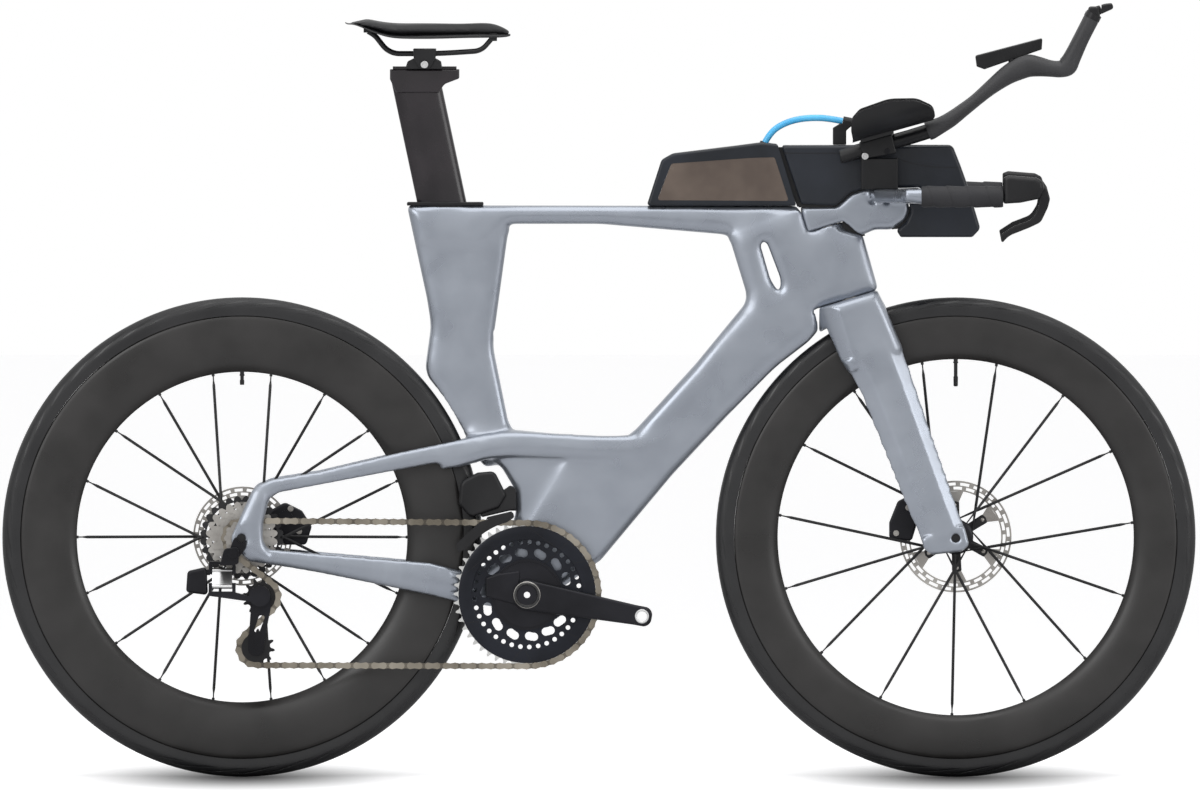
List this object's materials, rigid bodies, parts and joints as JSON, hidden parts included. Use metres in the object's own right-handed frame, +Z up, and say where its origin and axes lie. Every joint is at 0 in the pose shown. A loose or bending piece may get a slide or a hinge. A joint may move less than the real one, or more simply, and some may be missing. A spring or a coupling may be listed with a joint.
{
  "type": "time trial bike",
  "caption": "Aerodynamic road bicycle for riding against the clock, with deep rims, disc brakes, forward arm rests, a drinks box over the stem and a storage box behind it.",
  "frame": {"origin": "on the ground under the middle of the bicycle's box", "axes": "+X forward, +Y to the rider's left, +Z up"},
  "size_m": [1.6858, 0.4212, 1.0928],
  "materials": {
    "frame_paint": "satin",
    "post_black": "gloss",
    "black_plastic": "matte",
    "navy_box": "satin",
    "smoke_window": "gloss",
    "rim_carbon": "matte",
    "tyre_rubber": "matte",
    "pad_foam": "matte",
    "bar_tape": "matte",
    "steel": "satin",
    "chain_steel": "satin",
    "alloy_black": "satin",
    "alloy_silver": "satin",
    "hose_blue": "gloss",
    "saddle_cover": "matte"
  },
  "bodies": {
    "frame": {"frame": "frame_paint", "frame_bearings": "steel", "seat_clamp": "black_plastic", "rear_axle": "alloy_black", "rear_caliper": "alloy_black", "storage_box": "navy_box", "storage_windows": "smoke_window", "front_mech": "black_plastic", "rear_mech_knuckle": "alloy_black", "chain": "chain_steel", "drink_hose": "hose_blue"},
    "post": {"seat_post": "post_black"},
    "cradle": {"saddle_cradle": "alloy_black"},
    "saddle": {"saddle_rails": "alloy_black", "saddle_shell": "black_plastic", "saddle_padding": "saddle_cover"},
    "steering": {"fork": "frame_paint", "front_axle": "alloy_black", "front_caliper": "alloy_black", "base_bar": "frame_paint", "bar_tape": "bar_tape", "lever_bodies": "black_plastic", "risers": "alloy_black", "extensions": "black_plastic", "arm_cups": "black_plastic", "arm_pads": "pad_foam", "shifters": "black_plastic", "computer_mount": "black_plastic", "nose_box": "navy_box", "nose_lid": "navy_box", "hose_clip": "black_plastic"},
    "lever_left": {"brake_lever_left": "black_plastic"},
    "lever_right": {"brake_lever_right": "black_plastic"},
    "paddle_left": {"shift_paddle_left": "black_plastic"},
    "paddle_right": {"shift_paddle_right": "black_plastic"},
    "front_wheel": {"front_tyre": "tyre_rubber", "front_rim": "rim_carbon", "front_spokes": "rim_carbon", "front_hub": "alloy_black", "front_rotor": "steel"},
    "rear_wheel": {"rear_tyre": "tyre_rubber", "rear_rim": "rim_carbon", "rear_spokes": "rim_carbon", "rear_hub": "alloy_black", "rear_rotor": "steel"},
    "cogs": {"cassette": "steel"},
    "crank": {"chainrings": "alloy_black", "crank_arm_right": "alloy_black", "crank_arm_left": "alloy_black"},
    "outer_link": {"rear_mech_outer_link": "alloy_black"},
    "inner_link": {"rear_mech_inner_link": "alloy_black"},
    "mech_base": {"rear_mech_base": "alloy_black"},
    "mech_cage": {"rear_mech_cage": "alloy_black"},
    "upper_pulley": {"guide_pulley": "black_plastic"},
    "lower_pulley": {"tension_pulley": "black_plastic"},
    "shift_cage": {"front_cage": "alloy_black"},
    "front_pad_in": {"front_pad_inner": "steel"},
    "front_pad_out": {"front_pad_outer": "steel"},
    "rear_pad_in": {"rear_pad_inner": "steel"},
    "rear_pad_out": {"rear_pad_outer": "steel"}
  },
  "joints": [
    {"name": "steering", "type": "hinge", "parent": "frame", "child": "steering", "pos_m": [0.32238, 0, 0.77913], "axis": [-0.2924, 0, 0.9563], "range_deg": [-40, 40], "deforming": ["drink_hose"]},
    {"name": "front_wheel_spin", "type": "hinge", "parent": "steering", "child": "front_wheel", "pos_m": [0.504, 0, 0.339], "axis": [0, 1, 0], "continuous": true},
    {"name": "rear_wheel_spin", "type": "hinge", "parent": "frame", "child": "rear_wheel", "pos_m": [-0.504, 0, 0.339], "axis": [0, 1, 0], "continuous": true},
    {"name": "crank_spin", "type": "hinge", "parent": "frame", "child": "crank", "pos_m": [-0.101, 0, 0.259], "axis": [0, 1, 0], "continuous": true, "deforming": ["chain"]},
    {"name": "cog_spin", "type": "hinge", "parent": "frame", "child": "cogs", "pos_m": [-0.504, 0, 0.339], "axis": [0, 1, 0], "continuous": true},
    {"name": "shift_linkage", "type": "hinge", "parent": "frame", "child": "outer_link", "pos_m": [-0.531, -0.06481, 0.29319], "axis": [1, 0, 0], "range_deg": [-22.7, 64.4]},
    {"name": "inner_link_turn", "type": "hinge", "parent": "frame", "child": "inner_link", "pos_m": [-0.531, -0.05281, 0.29319], "axis": [1, 0, 0], "range_deg": [-22.7, 64.4]},
    {"name": "mech_base_turn", "type": "hinge", "parent": "outer_link", "child": "mech_base", "pos_m": [-0.531, -0.085, 0.271], "axis": [1, 0, 0], "range_deg": [-64.4, 22.7]},
    {"name": "cage_swing", "type": "hinge", "parent": "mech_base", "child": "mech_cage", "pos_m": [-0.478, -0.064, 0.258], "axis": [0, 1, 0], "range_deg": [-15, 35], "stiffness_Nm_per_rad": 1},
    {"name": "guide_pulley_spin", "type": "hinge", "parent": "mech_cage", "child": "upper_pulley", "pos_m": [-0.476, -0.0585, 0.256], "axis": [0, 1, 0], "continuous": true},
    {"name": "tension_pulley_spin", "type": "hinge", "parent": "mech_cage", "child": "lower_pulley", "pos_m": [-0.484, -0.0585, 0.184], "axis": [0, 1, 0], "continuous": true},
    {"name": "front_shift", "type": "slide", "parent": "frame", "child": "shift_cage", "axis": [0, 1, 0], "range_m": [0, 0.0065]},
    {"name": "brake_lever_left_pull", "type": "hinge", "parent": "steering", "child": "lever_left", "pos_m": [0.61938, 0.195, 0.83913], "axis": [0, 1, 0], "range_deg": [0, 18], "stiffness_Nm_per_rad": 2, "springref_deg": -5.73},
    {"name": "brake_lever_right_pull", "type": "hinge", "parent": "steering", "child": "lever_right", "pos_m": [0.61938, -0.195, 0.83913], "axis": [0, 1, 0], "range_deg": [0, 18], "stiffness_Nm_per_rad": 2, "springref_deg": -5.73},
    {"name": "shift_paddle_left_press", "type": "hinge", "parent": "steering", "child": "paddle_left", "pos_m": [0.69938, 0.046, 1.08213], "axis": [0, 1, 0], "range_deg": [-6, 6], "stiffness_Nm_per_rad": 0.5},
    {"name": "shift_paddle_right_press", "type": "hinge", "parent": "steering", "child": "paddle_right", "pos_m": [0.69938, -0.046, 1.08213], "axis": [0, 1, 0], "range_deg": [-6, 6], "stiffness_Nm_per_rad": 0.5},
    {"name": "front_pad_inner_close", "type": "slide", "parent": "steering", "child": "front_pad_in", "axis": [0, 1, 0], "range_m": [0, 0.00033]},
    {"name": "front_pad_outer_close", "type": "slide", "parent": "steering", "child": "front_pad_out", "axis": [0, -1, 0], "range_m": [0, 0.00033]},
    {"name": "rear_pad_inner_close", "type": "slide", "parent": "frame", "child": "rear_pad_in", "axis": [0, 1, 0], "range_m": [0, 0.00033]},
    {"name": "rear_pad_outer_close", "type": "slide", "parent": "frame", "child": "rear_pad_out", "axis": [0, -1, 0], "range_m": [0, 0.00033]},
    {"name": "seat_height", "type": "slide", "parent": "frame", "child": "post", "axis": [-0.2079, 0, 0.9781], "range_m": [-0.055, 0.06]},
    {"name": "saddle_fore_aft", "type": "slide", "parent": "post", "child": "cradle", "axis": [1, 0, 0], "range_m": [-0.02, 0.02]},
    {"name": "saddle_tilt", "type": "hinge", "parent": "cradle", "child": "saddle", "pos_m": [-0.246, 0, 1.007], "axis": [0, 1, 0], "range_deg": [-5, 5]}
  ],
  "couplings": [
    {"joint": "cog_spin", "follows": "crank_spin", "ratio": 4.1667},
    {"joint": "tension_pulley_spin", "follows": "crank_spin", "ratio": 4.1667},
    {"joint": "guide_pulley_spin", "follows": "crank_spin", "ratio": -4.1667},
    {"joint": "inner_link_turn", "follows": "shift_linkage", "ratio": 1},
    {"joint": "mech_base_turn", "follows": "shift_linkage", "ratio": -1},
    {"joint": "front_pad_inner_close", "follows": "brake_lever_left_pull", "m_per_rad": 0.00105},
    {"joint": "rear_pad_inner_close", "follows": "brake_lever_right_pull", "m_per_rad": 0.00105},
    {"joint": "front_pad_outer_close", "follows": "brake_lever_left_pull", "m_per_rad": 0.00105},
    {"joint": "rear_pad_outer_close", "follows": "brake_lever_right_pull", "m_per_rad": 0.00105}
  ]
}
